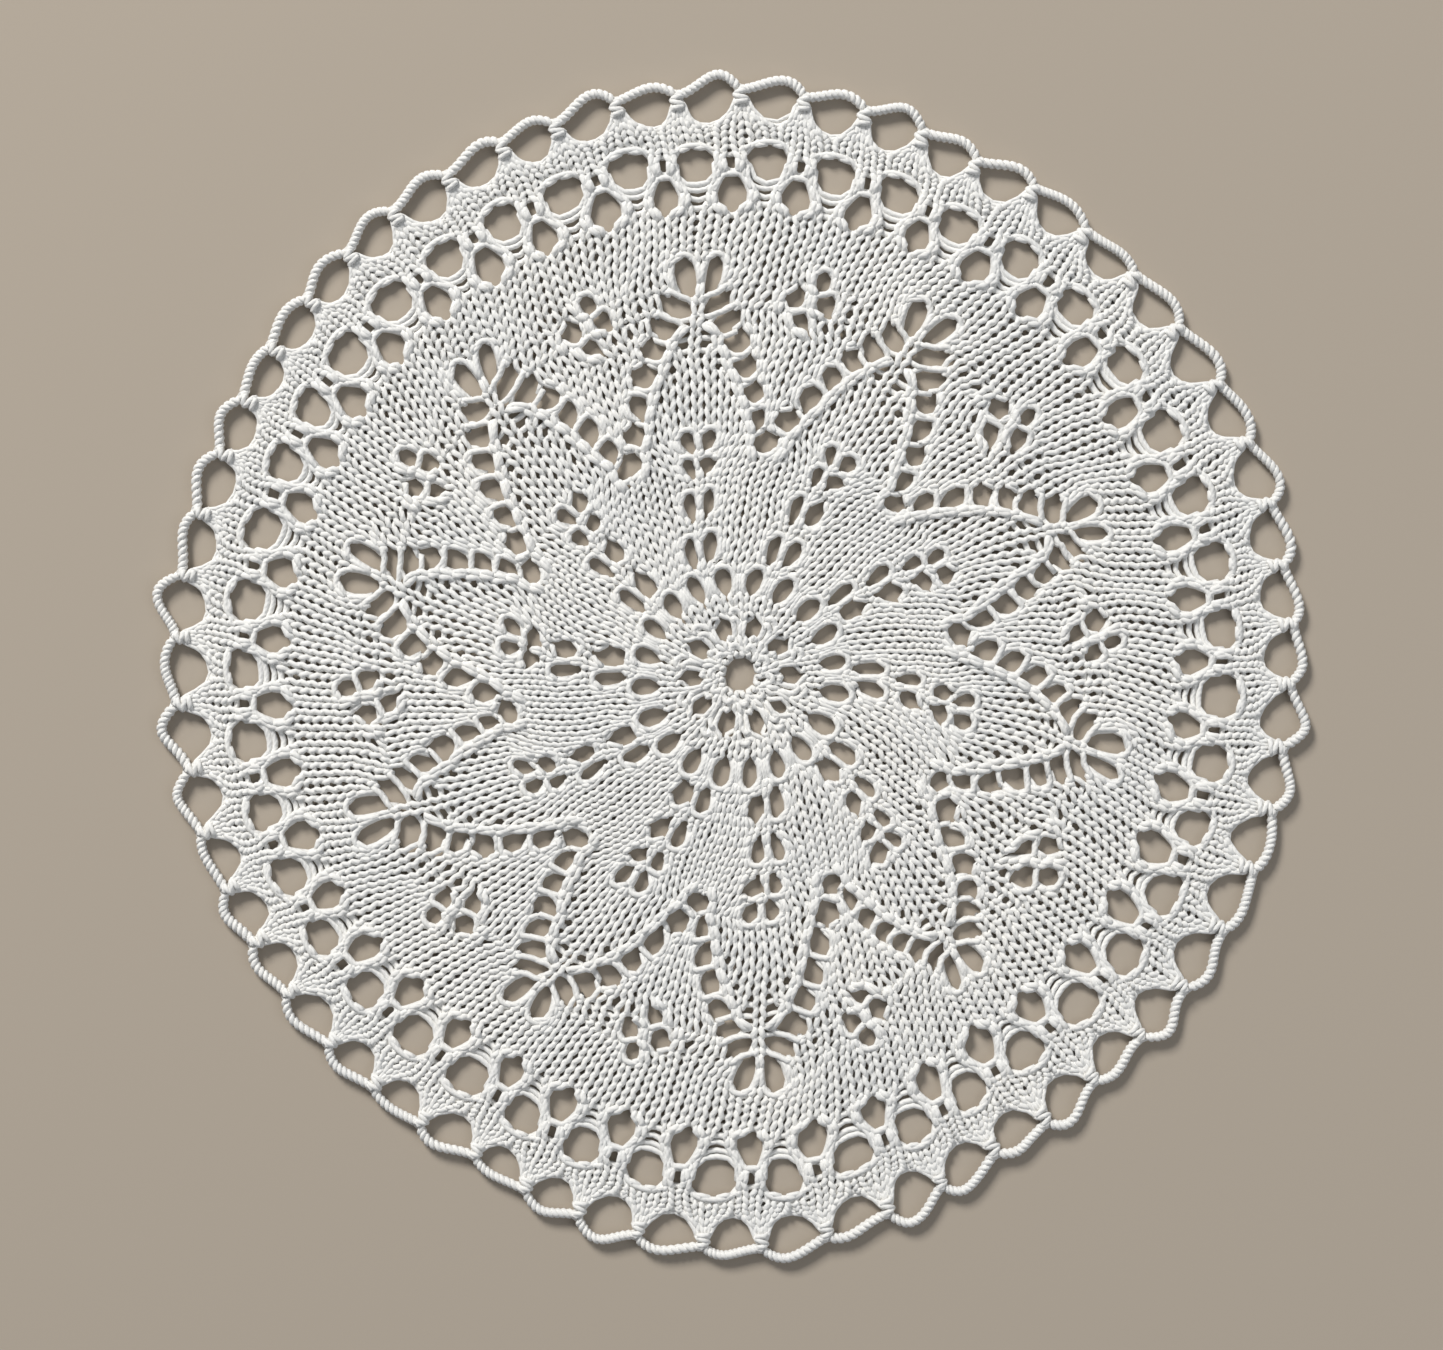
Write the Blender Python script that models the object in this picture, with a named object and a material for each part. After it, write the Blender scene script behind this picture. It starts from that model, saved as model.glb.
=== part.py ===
"""A round knitted lace doily with a crocheted loop edge, lying flat.

It is one piece of cloth, knitted from the middle outwards: a small ring, ten
leaves with an open stitch down each side, a double band of eyelets, a plain
border, and an edge of crochet chain loops that hold the gathered last stitches.
Every opening wider than about 4 mm is cut through.

Lengths are in millimetres until the mesh is written, bearings are in degrees
clockwise from +Y seen from above, and radii are those of an even doily before
each leaf's own pull is applied.
"""

import math

import bpy
from mathutils import Vector
from mathutils.geometry import delaunay_2d_cdt

MM = 0.001
NODE_NAME = "doily_cloth"
TRIANGLES_INSIDE = 1
MERGE_DISTANCE = 1e-6

# Main radii of the even doily.
RING_HOLE = 2.2
RING_SIDES = 8
LEAF_BASE = 46.0
LEAF_TIP = 78.0
KNOT = 111.6
LOOP_TOP = 113.5

LEAF_COUNT = 10
BAND_COUNT = 45
LOOP_COUNT = 56
LEAF_PITCH = 360.0 / LEAF_COUNT
FIRST_LEAF_BEARING = -4.0

# How each leaf lies: how far its base, its tip and the edge beyond it are turned from
# even spacing, in degrees, and how far out its tip and the edge beyond it reach.
LEAVES = (
    # base_turn, tip_turn, edge_turn, tip_reach, edge_reach
    (-1.8, -1.8, 0.5, 81.0, 119.2),
    (-2.8, -3.8, -0.8, 80.0, 115.0),
    (-2.6, -2.0, 1.6, 75.9, 113.4),
    (-1.2, -2.0, 1.7, 74.7, 111.0),
    (4.0, 2.6, 4.3, 73.0, 109.4),
    (3.4, 1.3, 4.4, 79.9, 116.0),
    (0.4, 1.4, 3.7, 77.0, 111.4),
    (1.2, 0.9, 3.5, 79.0, 113.4),
    (0.2, 1.8, 4.4, 78.9, 115.6),
    (-0.6, -0.7, 2.2, 80.8, 117.8),
)

# The columns of stitches turn slowly clockwise on their way out.
TWIST = (
    # radius, degrees ahead of the leaf tips
    (0.0, -17.0),
    (26.0, -11.0),
    (46.0, -4.5),
    (78.0, 0.0),
    (91.0, 4.0),
    (130.0, 4.0),
)

# How much of a leaf's turn at its base, tip and edge is felt at a radius.
TURN_SHARES = (
    # radius, base, tip, edge
    (0.0, 0.3, 0.0, 0.0),
    (45.0, 1.0, 0.0, 0.0),
    (78.0, 0.0, 1.0, 0.0),
    (92.0, 0.0, 0.0, 1.0),
    (130.0, 0.0, 0.0, 1.0),
)

# The cloth's thickness by radius, and what a leaf's body adds to it.
THICKNESS = (
    # radius, thickness
    (0.0, 2.5),
    (12.0, 2.0),
    (90.0, 1.9),
    (97.0, 2.1),
    (105.0, 1.9),
    (111.0, 2.4),
    (122.0, 1.8),
)
LEAF_CROWN = 0.35
LEAF_HALF_ANGLE = 15.0
LEAF_TIP_HALF_ANGLE = 1.0
LEAF_SHOULDER = 0.33

# Openings down the sides of each leaf. Offset is how far from the leaf's axis.
LEAF_OPENINGS = (
    # radius, offset, half_width, half_height, lean, sides
    (46.8, 14.2, 1.7, 2.1, 20.0, 6),
    (51.2, -13.6, 1.7, 2.0, 25.0, 6),
    (56.4, -12.2, 1.7, 1.9, 25.0, 6),
    (61.2, -10.9, 1.8, 1.8, 25.0, 6),
    (61.0, 10.4, 2.0, 1.8, -15.0, 6),
    (65.4, -8.9, 2.0, 1.5, 30.0, 6),
    (65.4, 8.6, 2.0, 1.5, -15.0, 6),
    (69.0, -6.5, 2.0, 1.4, 20.0, 6),
    (72.7, -4.6, 2.1, 1.5, 0.0, 6),
    (78.3, -3.2, 2.1, 3.2, -6.0, 8),
    (78.1, 3.0, 1.9, 3.1, 12.0, 8),
)

# Even rows of openings: two rows round the middle, and the two rows of the band.
ROUND_OPENINGS = (
    # radius, count, first, half_width, half_height, sides
    (19.4, 20, 9.0, 1.6, 2.3, 6),
    (93.0, BAND_COUNT, 6.6, 2.6, 2.3, 8),
    (97.6, BAND_COUNT, 2.7, 3.2, 3.3, 8),
)
PAIR_RADIUS = 26.2
PAIR_OFFSET = 2.1
PAIR_HALF_WIDTH = 1.3
PAIR_HALF_HEIGHT = 2.4
PAIR_SIDES = 6

# The crochet edge: loops of chain from knot to knot, each with a gap under it.
FIRST_KNOT = -0.3
CHAIN_HALF = 0.95
LOOP_RISE = 2.0
LOOP_LEAN = 1.6
LOOP_RISES = {
    # loop: rise, where it isn't the usual one
    0: 2.6,
    2: 3.0,
    6: 1.4,
    10: 3.0,
    12: 1.2,
    14: 3.4,
    15: 3.0,
    17: 1.6,
    19: 2.6,
    20: 1.6,
    21: 2.9,
    23: 3.1,
    24: 3.4,
    25: 1.6,
    27: 1.8,
    29: 3.4,
    31: 1.4,
    33: 1.0,
    38: 1.2,
    39: 3.0,
    40: 3.8,
    42: 4.0,
    43: 1.3,
    46: 1.0,
    47: 1.4,
    53: 3.0,
    54: 1.8,
    55: 3.3,
}
LOOP_TOP_STEPS = (0.02, 0.15, 0.30, 0.46, 0.62, 0.77, 0.90)
GAP_TOP_STEPS = (0.16, 0.37, 0.60, 0.82)
GAP_FOOT_STEPS = (0.70, 0.36)
GAP_FOOT = 108.8


def read_off(table, at, column=1):
    """A column of a table whose rows start with a radius, in straight steps between rows."""
    for low, high in zip(table, table[1:]):
        if at <= high[0]:
            share = (at - low[0]) / (high[0] - low[0])
            return low[column] + (high[column] - low[column]) * share
    return table[-1][column]


def leaf_value(turn, column):
    """A column of the leaf table at a turn counted in leaves, eased between leaves."""
    low = math.floor(turn)
    share = turn - low
    share = share * share * (3.0 - 2.0 * share)
    first = LEAVES[low % LEAF_COUNT][column]
    second = LEAVES[(low + 1) % LEAF_COUNT][column]
    return first + (second - first) * share


def shift(turn, radius):
    """How far the cloth near this turn lies from even spacing, in degrees."""
    return sum(
        leaf_value(turn, place) * read_off(TURN_SHARES, radius, place + 1) for place in range(3)
    )


def reach(turn, radius):
    """The real radius of a place, from its radius on the even doily."""
    tip_pull = leaf_value(turn, 3) / LEAF_TIP
    edge_pull = leaf_value(turn, 4) / LOOP_TOP
    if radius < LEAF_TIP:
        return radius * (1.0 + (tip_pull - 1.0) * radius / LEAF_TIP)
    share = (radius - LEAF_TIP) / (LOOP_TOP - LEAF_TIP)
    return radius * (tip_pull + (edge_pull - tip_pull) * share)


def bearing_at(turn, radius):
    """The bearing of a column of stitches at a radius, from its turn counted in leaves."""
    even = FIRST_LEAF_BEARING + LEAF_PITCH * turn
    return even + shift(turn, radius) + read_off(TWIST, radius)


def edge_place(even, radius):
    """The real bearing and radius of a place in the band or the edge."""
    turn = (even - FIRST_LEAF_BEARING) / LEAF_PITCH
    return even + shift(turn, radius), reach(turn, radius)


def on_plan(bearing, radius):
    angle = math.radians(bearing)
    return Vector((radius * math.sin(angle), radius * math.cos(angle)))


def opening(bearing, radius, half_width, half_height, lean, sides):
    """An oval opening with its long way out from the middle, turned clockwise by lean."""
    centre = on_plan(bearing, radius)
    out = on_plan(bearing + lean, 1.0)
    along = on_plan(bearing + lean + 90.0, 1.0)
    points = []
    for step in range(sides):
        angle = 2.0 * math.pi * (step + 0.5) / sides
        points.append(
            centre
            + along * (half_width * math.cos(angle) * oval_ease(sides))
            + out * (half_height * math.sin(angle) * oval_ease(sides))
        )
    return points


def oval_ease(sides):
    """A polygon's corners lie outside its oval by this much, so that its area is the oval's."""
    angle = 2.0 * math.pi / sides
    return math.sqrt(angle / math.sin(angle))


def leaf_openings():
    found = []
    for leaf in range(LEAF_COUNT):
        for radius, offset, half_width, half_height, lean, sides in LEAF_OPENINGS:
            turn = leaf + math.degrees(offset / radius) / LEAF_PITCH
            bearing = bearing_at(turn, radius)
            real = reach(turn, radius)
            found.append(opening(bearing, real, half_width, half_height, lean, sides))
    return found


def pair_openings():
    """The lowest pair of openings in each leaf's axis."""
    found = []
    for leaf in range(LEAF_COUNT):
        for side in (-1, 1):
            turn = leaf + side * math.degrees(PAIR_OFFSET / PAIR_RADIUS) / LEAF_PITCH
            bearing = bearing_at(turn, PAIR_RADIUS)
            pair = (PAIR_HALF_WIDTH, PAIR_HALF_HEIGHT, 0.0, PAIR_SIDES)
            found.append(opening(bearing, PAIR_RADIUS, *pair))
    return found


def round_openings():
    found = []
    for radius, count, first, half_width, half_height, sides in ROUND_OPENINGS:
        for index in range(count):
            even = 360.0 * index / count + first
            if radius < LEAF_BASE:
                turn = even / LEAF_PITCH
                bearing = bearing_at(turn, radius)
                real = reach(turn, radius)
            else:
                bearing, real = edge_place(even, radius)
            found.append(opening(bearing, real, half_width, half_height, 0.0, sides))
    return found


def chain_point(loop, step, aside):
    """A point beside a loop's chain. Step runs from its first knot to its second."""
    bearing, radius = edge_place(FIRST_KNOT + (loop + step) * 360.0 / LOOP_COUNT, KNOT)
    rise = LOOP_RISES.get(loop, LOOP_RISE) * math.sin(math.pi * step**LOOP_LEAN)
    return on_plan(bearing, radius + rise + aside)


def edge_outline():
    points = []
    for loop in range(LOOP_COUNT):
        points += [chain_point(loop, step, CHAIN_HALF) for step in LOOP_TOP_STEPS]
    return points[::-1]


def loop_gaps():
    """The opening under each chain, down to the slack strand between two gathers."""
    found = []
    for loop in range(LOOP_COUNT):
        points = [chain_point(loop, step, -CHAIN_HALF) for step in GAP_TOP_STEPS]
        for step in GAP_FOOT_STEPS:
            even = FIRST_KNOT + (loop + step) * 360.0 / LOOP_COUNT
            points.append(on_plan(*edge_place(even, GAP_FOOT)))
        found.append(points[::-1])
    return found


def top_height(point):
    """The height of the cloth's upper face over a place on the plan."""
    radius = point.length
    bearing = math.degrees(math.atan2(point.x, point.y))
    height = read_off(THICKNESS, radius)
    if LEAF_BASE < radius < LEAF_TIP:
        nearest = min(
            abs((bearing - bearing_at(leaf, radius) + 180.0) % 360.0 - 180.0)
            for leaf in range(LEAF_COUNT)
        )
        narrowing = (LEAF_TIP - radius) / (LEAF_TIP - LEAF_BASE)
        inside = 1.0 - nearest / (LEAF_HALF_ANGLE * narrowing + LEAF_TIP_HALF_ANGLE)
        height += LEAF_CROWN * max(0.0, min(1.0, inside / LEAF_SHOULDER))
    return height


def cloth_mesh():
    """The outline with its openings, filled once for each face and joined by walls."""
    rings = [edge_outline(), opening(0.0, 0.0, RING_HOLE, RING_HOLE, 0.0, RING_SIDES)]
    rings += round_openings() + pair_openings() + leaf_openings() + loop_gaps()
    points = []
    faces = []
    for ring in rings:
        faces.append(list(range(len(points), len(points) + len(ring))))
        points += ring
    filled = delaunay_2d_cdt(points, [], faces, TRIANGLES_INSIDE, MERGE_DISTANCE)
    plan, _, triangles, _, _, sources = filled
    solid = [tri for tri, source in zip(triangles, sources) if list(source) == [0]]
    solid = [tri if is_left_turning(plan, tri) else tri[::-1] for tri in solid]

    count = len(plan)
    middle = middle_of(plan)
    verts = [((p - middle) * MM).to_3d() for p in plan]
    verts += [((p - middle) * MM).to_3d() + Vector((0.0, 0.0, top_height(p) * MM)) for p in plan]
    mesh_faces = [tuple(tri[::-1]) for tri in solid]
    mesh_faces += [tuple(index + count for index in tri) for tri in solid]
    edges = {(tri[i], tri[(i + 1) % 3]) for tri in solid for i in range(3)}
    for first, second in sorted(edges):
        if (second, first) not in edges:
            mesh_faces.append((first, second, second + count, first + count))
    mesh = bpy.data.meshes.new(NODE_NAME)
    mesh.from_pydata(verts, [], mesh_faces)
    mesh.validate()
    return mesh


def middle_of(plan):
    """The middle of the cloth's bounds on the plan, which is where the origin goes."""
    xs = [p.x for p in plan]
    ys = [p.y for p in plan]
    return Vector((min(xs) + max(xs), min(ys) + max(ys))) / 2.0


def is_left_turning(plan, tri):
    first, second, third = (plan[index] for index in tri)
    return (second - first).cross(third - first) > 0.0


def cotton():
    material = bpy.data.materials.new("cotton")
    material.use_nodes = True
    shader = material.node_tree.nodes["Principled BSDF"]
    shader.inputs["Base Color"].default_value = (0.80, 0.78, 0.72, 1.0)
    shader.inputs["Roughness"].default_value = 0.9
    return material


def main():
    for old in list(bpy.data.objects):
        bpy.data.objects.remove(old)
    mesh = cloth_mesh()
    mesh.materials.append(cotton())
    doily = bpy.data.objects.new(NODE_NAME, mesh)
    bpy.context.scene.collection.objects.link(doily)


main()
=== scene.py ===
"""The looks of the knitted lace doily, stitch by stitch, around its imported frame.

Each round of knitting is one closed ring of yarn that loops through the round before it.
A chart says what each stitch is and where its head lies on an even doily. Every leaf's own
turn and pull then moves it, and each opening pushes the yarn round it aside.

Lengths are in millimetres until a mesh is written, bearings are in degrees clockwise from
+Y seen from above, and turns are bearings counted in leaves.
"""

import math

import bpy
import numpy as np
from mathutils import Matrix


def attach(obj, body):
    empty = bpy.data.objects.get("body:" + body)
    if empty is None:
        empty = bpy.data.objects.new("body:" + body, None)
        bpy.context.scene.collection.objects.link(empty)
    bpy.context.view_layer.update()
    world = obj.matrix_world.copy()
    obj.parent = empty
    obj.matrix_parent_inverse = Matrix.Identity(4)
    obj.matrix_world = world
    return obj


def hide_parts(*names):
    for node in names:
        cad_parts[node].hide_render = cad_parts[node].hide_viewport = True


MM = 0.001
NODE = "doily_cloth"
# Where the knitting starts, from the middle of the doily's bounds.
KNIT_CENTRE = (1.85, -2.25)

# The yarn is a tube with flat sides.
YARN_RADIUS = 0.56
TUBE_SIDES = 5
YARN_UV = "yarn"
LONGEST_STEP = 1.7
SMOOTHING = 0.2

# Where a stitch's yarn has its points, as shares of its way from one sinker to the next.
STITCH_POINTS = (0.0, 0.1, 0.2, 0.3, 0.41, 0.5, 0.59, 0.7, 0.8, 0.9)
# How far a loop bows out over its neck, as a share of its width.
LOOP_SWAY = 0.25
GATHER_SWAY = 0.06
# How far the yarn goes in front of the cloth's middle and behind it.
LOOP_DEPTH = 0.48
FLOAT_ABOVE_TABLE = 1.0
# How far a loop reaches below its foot and above its head.
SINK = 0.8
SINK_SHARE = 0.35
ARCH_SINK = 0.1
OVER = 0.42
GATHER_OVER = 0.2
# How wide a loop can be, also as a share of the distance to its nearer neighbour.
WIDEST_HEAD = 3.1
FOOT_WIDTHS = (1.0, 2.9)
NEAREST_SHARE = 1.35
# Neighbouring loops meet in the middle of their sinker, and this power keeps it short.
SINKER_POWER = 14
# How far in front the legs are, where the legs of a plain stitch are at 1.
PURL_LEGS = -0.6
ARCH_LEGS = 0.3

# The yarn is thinner at heads and sinkers that lie behind, and plumper in loose stitches,
# over the eyelets and where stitches are taken together. It has its usual girth in a
# stitch of the usual width.
THIN_SHARE = 0.9
USUAL_WIDTH = 2.25
PLUMP_RANGE = (0.9, 1.2)
EYELET_PLUMP = 1.15
PURL_PLUMP = 1.15
TOGETHER_PLUMP = 1.35

# A yarn over is an arch, and this is its width as a share of its room.
ARCH_WIDTH = 1.1
ARCH_SQUARENESS = 0.7

# Stitches taken together come closer by this share. The top one is lifted, and so is the
# stitch that joins them.
DRAWN_TOGETHER = 0.28
LIFT = 0.6
JOINED_LIFT = 0.36

# The hand of the knitter: each head is off its place a little, and the knitting wavers
# slowly from place to place.
HAND_SPREAD = 0.09
HAND_SEED = 7
WAVER = 0.22
WAVER_LENGTHS = (11.0, 17.0, 26.0, 41.0)

# The even doily.
LEAF_COUNT = 10
LEAF_PITCH = 360.0 / LEAF_COUNT
FIRST_LEAF_BEARING = -4.0
BAND_COUNT = 45
FIRST_BAND_EYELET = 6.6
LOOP_COUNT = 56
FIRST_KNOT = -0.3
LEAF_TIP = 78.0
KNOT = 111.6
LOOP_TOP = 113.5
# The radii of the cast-on and of the heads of its stitches.
CAST_ON = 2.4
CAST_ON_HEADS = 3.7

# How each leaf lies: its turn from even spacing at its base, its tip and the edge beyond
# it, in degrees, and how far out its tip and the edge beyond it reach.
LEAVES = np.array(
    (
        # base_turn, tip_turn, edge_turn, tip_reach, edge_reach
        (-1.8, -1.8, 0.5, 81.0, 119.2),
        (-2.8, -3.8, -0.8, 80.0, 115.0),
        (-2.6, -2.0, 1.6, 75.9, 113.4),
        (-1.2, -2.0, 1.7, 74.7, 111.0),
        (4.0, 2.6, 4.3, 73.0, 109.4),
        (3.4, 1.3, 4.4, 79.9, 116.0),
        (0.4, 1.4, 3.7, 77.0, 111.4),
        (1.2, 0.9, 3.5, 79.0, 113.4),
        (0.2, 1.8, 4.4, 78.9, 115.6),
        (-0.6, -0.7, 2.2, 80.8, 117.8),
    )
)
TIP_REACH = 3
EDGE_REACH = 4

# The columns of stitches turn slowly clockwise on their way out.
TWIST = np.array(
    (
        # radius, degrees ahead of the leaf tips
        (0.0, -17.0),
        (26.0, -11.0),
        (46.0, -4.5),
        (78.0, 0.0),
        (130.0, 0.0),
    )
)

# How much of a leaf's turn at its base, tip and edge is felt at a radius.
TURN_SHARES = np.array(
    (
        # radius, base, tip, edge
        (0.0, 0.3, 0.0, 0.0),
        (45.0, 1.0, 0.0, 0.0),
        (78.0, 0.0, 1.0, 0.0),
        (92.0, 0.0, 0.0, 1.0),
        (130.0, 0.0, 0.0, 1.0),
    )
)

# The chart of one leaf and the ground beside it. k is a plain stitch, o a yarn over, m a
# stitch worked into the same loop as the one before it, / two together that lean right,
# \\ two together that lean left, and A three together. A plain round knits every stitch of
# the one before it. Where there is no side eyelet, the stitches stand evenly round the
# doily.
LACE_CHART = (
    # leaf_radius, ground_radius, side eyelet's offset, offsets of the ground's eyelets,
    # leaf, ground, plain rounds that follow
    (5.7, 5.7, 0.0, (), "ko", "", (7.9,)),
    (11.0, 11.0, 0.0, (), "kko", "", ()),
    (13.0, 13.0, 0.0, (), "kkko", "", (15.0, 17.2)),
    (20.9, 20.9, 0.0, (), "kokkok", "", (23.0, 25.2)),
    (27.6, 27.2, 0.0, (), "kkokokk", "k", (29.8, 31.9, 34.0)),
    (36.0, 35.6, 0.0, (), "kkkokokkk", "k", (37.8, 39.5, 41.2)),
    (43.0, 42.6, 0.0, (), "kkkkokokkkk", "k", (45.3,)),
    (47.6, 48.2, 0.0, (), "/kkkokokkk\\", "ok", (50.0,)),
    (52.4, 52.6, 13.3, (), "/kkkkkkk\\", "okko", (55.0,)),
    (57.6, 57.6, 12.2, (), "/kkkkk\\", "okkkko", (60.0,)),
    (62.4, 62.4, 10.6, (), "/kkk\\", "okkkkkko", (64.4,)),
    (66.5, 66.5, 8.8, (), "/k\\", "okkkkkkkko", (68.4,)),
    (70.3, 71.2, 6.5, (-0.8,), "A", "okkkk\\okkkko", (72.7,)),
    (74.1, 75.0, 4.6, (-3.0, 3.0), "k", "okkk\\ok\\okkkko", (76.6,)),
    (80.4, 78.8, 3.2, (0.9,), "oko", "kkkkkk\\okkmkkkk", (81.0, 83.0, 85.0, 87.0, 89.0, 90.9)),
)
# How many stitches of the round before each kind of stitch takes up, where it takes any.
STITCHES_USED = {"k": 1, "g": 1, "/": 2, "\\": 2, "A": 3}
# How far apart a leaf's columns are, how far beyond a side eyelet the next column is, and
# how close to the eyelet a leaf's edge column may come. The edge column stands two thirds
# of the way there from where it would be among the others.
LEAF_STITCH = 2.15
SIDE_ROOM = 2.0
EYELET_HALF_WIDTH = 1.6
EDGE_ROOM = 0.4

# The chart of one unit of the band, with its small eyelet in the middle. O is a wide yarn
# over.
BAND_CHART = (
    # stitches, places across the unit, radii
    ("\\O/", (-0.27, 0.0, 0.27), (92.8, 95.3, 92.8)),
    ("kkmk", (-0.26, -0.09, 0.09, 0.26), (95.4, 96.8, 96.8, 95.4)),
    ("kkkk", (-0.24, -0.085, 0.085, 0.24), (98.0, 98.9, 98.9, 98.0)),
    ("\\/", (-0.12, 0.12), (100.2, 100.2)),
    ("kkO", (-0.1, 0.1, 0.5), (101.7, 101.7, 100.9)),
    ("kkkmm", (-0.1, 0.1, 0.31, 0.5, 0.69), (103.1, 103.1, 102.9, 102.9, 102.9)),
)
# The border's stitches are drawn together towards the knots, and g is one held by a knot.
BORDER_ROUNDS = (
    # radius, width of a gather as a share, dip of its outer columns, kind
    (104.5, 1.0, 0.0, "k"),
    (106.1, 0.96, 0.1, "k"),
    (107.7, 0.66, 0.7, "k"),
    (109.3, 0.36, 1.1, "k"),
    (111.0, 0.17, 0.3, "g"),
)
# A gather's outer columns are this far from its knot, as a share of the loops' pitch.
GATHER_OUTER = 0.375
# The plain rounds settle in this many passes, with this share of even spacing in them.
SETTLE_PASSES = 30
EVEN_SHARE = 0.5

# Openings down each leaf, and in the ground beside it. Offset is from the leaf's axis.
LEAF_OPENINGS = (
    # radius, offset, half_width, half_height, lean
    (10.0, 0.0, 1.2, 1.5, 0.0),
    (26.2, -2.1, 1.3, 2.4, 0.0),
    (26.2, 2.1, 1.3, 2.4, 0.0),
    (34.8, -2.0, 1.1, 1.9, 0.0),
    (34.8, 2.0, 1.1, 1.9, 0.0),
    (41.8, -2.0, 1.2, 1.4, 0.0),
    (41.8, 2.0, 1.2, 1.4, 0.0),
    (46.4, -2.1, 1.4, 1.4, 0.0),
    (46.4, 2.1, 1.4, 1.4, 0.0),
    (46.8, 14.2, 1.6, 2.2, 20.0),
    (51.2, -13.6, 1.5, 2.1, 25.0),
    (51.2, 13.0, 1.2, 1.9, -25.0),
    (56.4, -12.2, 1.5, 2.0, 25.0),
    (56.2, 12.2, 1.4, 1.9, -25.0),
    (61.2, -10.9, 1.6, 1.9, 25.0),
    (61.0, 10.4, 1.6, 1.9, -20.0),
    (65.4, -8.9, 1.7, 1.7, 30.0),
    (65.4, 8.6, 1.6, 1.7, -20.0),
    (69.0, -6.5, 1.7, 1.5, 20.0),
    (69.2, 6.4, 1.6, 1.5, -20.0),
    (72.7, -4.6, 1.7, 1.6, 0.0),
    (73.0, 4.6, 1.5, 1.5, -10.0),
    (78.0, -3.2, 1.6, 2.7, -6.0),
    (77.8, 3.0, 1.3, 2.6, 12.0),
)
GROUND_OPENINGS = (
    # radius, offset from the middle of the ground, half_width, half_height, lean
    (70.1, -0.8, 1.3, 1.4, 0.0),
    (73.8, -3.0, 1.3, 1.6, 0.0),
    (73.8, 3.0, 1.5, 1.5, 0.0),
    (77.6, 0.9, 1.2, 1.4, 0.0),
)
ROUND_OPENINGS = (
    # radius, count, first turn, half_width, half_height
    (0.0, 1, 0.0, 2.0, 2.4),
    (19.6, 20, 0.25, 1.5, 1.9),
)
BAND_OPENINGS = (
    # radius, place across the unit, half_width, half_height
    (93.0, 0.0, 2.4, 2.3),
    (97.8, 0.5, 2.7, 2.9),
    (98.2, 0.0, 0.5, 0.8),
)
# The gap between two gathers, under a loop of chain: radius, half_width, half_height.
GATHER_GAP = (109.8, 3.2, 3.2)
# An opening moves the yarn within this many times its half size. A higher power packs it
# closer to the rim.
PUSH_REACH = 1.75
PUSH_POWER = 1.5
# Openings are ellipses with this power instead of 2, so a little squarish.
ROUNDNESS = 2.6
# A strand jumps across an opening if its bearing from the middle changes by this much
# from point to point. It runs through the middle if it comes this near to it, and swings
# so far round it.
STRAND_JUMP = math.radians(75.0)
NEAR_MIDDLE = 0.6
THROUGH_MIDDLE = math.radians(130.0)

# The crochet edge.
CHAIN_HEIGHT = 1.25
LOOP_RISE = 2.0
LOOP_LEAN = 1.6
LOOP_RISES = {
    # loop: rise, where it isn't the usual one
    0: 2.6,
    2: 3.0,
    6: 1.4,
    10: 3.0,
    12: 1.2,
    14: 3.4,
    15: 3.0,
    17: 1.6,
    19: 2.6,
    20: 1.6,
    21: 2.9,
    23: 3.1,
    24: 3.4,
    25: 1.6,
    27: 1.8,
    29: 3.4,
    31: 1.4,
    33: 1.0,
    38: 1.2,
    39: 3.0,
    40: 3.8,
    42: 4.0,
    43: 1.3,
    46: 1.0,
    47: 1.4,
    53: 3.0,
    54: 1.8,
    55: 3.3,
}
# The chain's stitches lie on their sides, so that two strands wind round each other.
CHAIN_STITCH = 2.3
CHAIN_STEPS = 8
CHAIN_HALF_WIDTH = 0.48
CHAIN_YARN_RADIUS = 0.6
# A loop's chain starts and ends a little way from the knots, as shares of the loop.
CHAIN_SPAN = (0.03, 0.97)
CHAIN_SAMPLES = 60
CHAIN_AHEAD = 0.005
KNOT_TURNS = 3.5
KNOT_STEPS = 34
KNOT_HALF_WIDTH = 1.3
KNOT_HALF_HEIGHT = 1.0
KNOT_LENGTH = 2.6
KNOT_TAPER = 0.2

# The yarn's plies and fuzz, the last in waves per metre, as are the changes of tone.
PLY_COUNT = 3.0
PLY_LENGTH = 1.2
PLY_RELIEF = 0.35
FUZZ_SCALE = 2600.0
RELIEF_DEPTH = 0.12
TONE_SCALE = 45.0
FUZZ_DETAIL = 3.0
TONE_DETAIL = 2.0
RELIEF_STRENGTH = 0.5
# Where the tone is pale and where it is warm, as shares of the noise.
TONE_RANGE = (0.3, 0.75)
PALE_COTTON = (0.80, 0.795, 0.775, 1.0)
WARM_COTTON = (0.86, 0.845, 0.81, 1.0)
COTTON = {
    "Roughness": 0.88,
    "Specular IOR Level": 0.25,
    "Sheen Weight": 0.25,
    "Sheen Roughness": 0.6,
}

# The floor lies just under the sinkers of the stitches. Its half size and the places and
# sizes of the lights are in metres.
FLOOR_DROP = 0.2
FLOOR_HALF = 3.0
FLOOR_COLOUR = (0.43, 0.37, 0.30, 1.0)
FLOOR_ROUGHNESS = 0.9
SKY_COLOUR = (0.9, 0.94, 1.0, 1.0)
SKY_STRENGTH = 0.22
LIGHTS = (
    # name, place, size, power, colour
    ("key", (-1.0, 1.7, 1.4), 0.7, 64.0, (1.0, 0.985, 0.96)),
    ("fill", (0.8, -0.4, 0.9), 0.8, 3.0, (0.93, 0.96, 1.0)),
)

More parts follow.
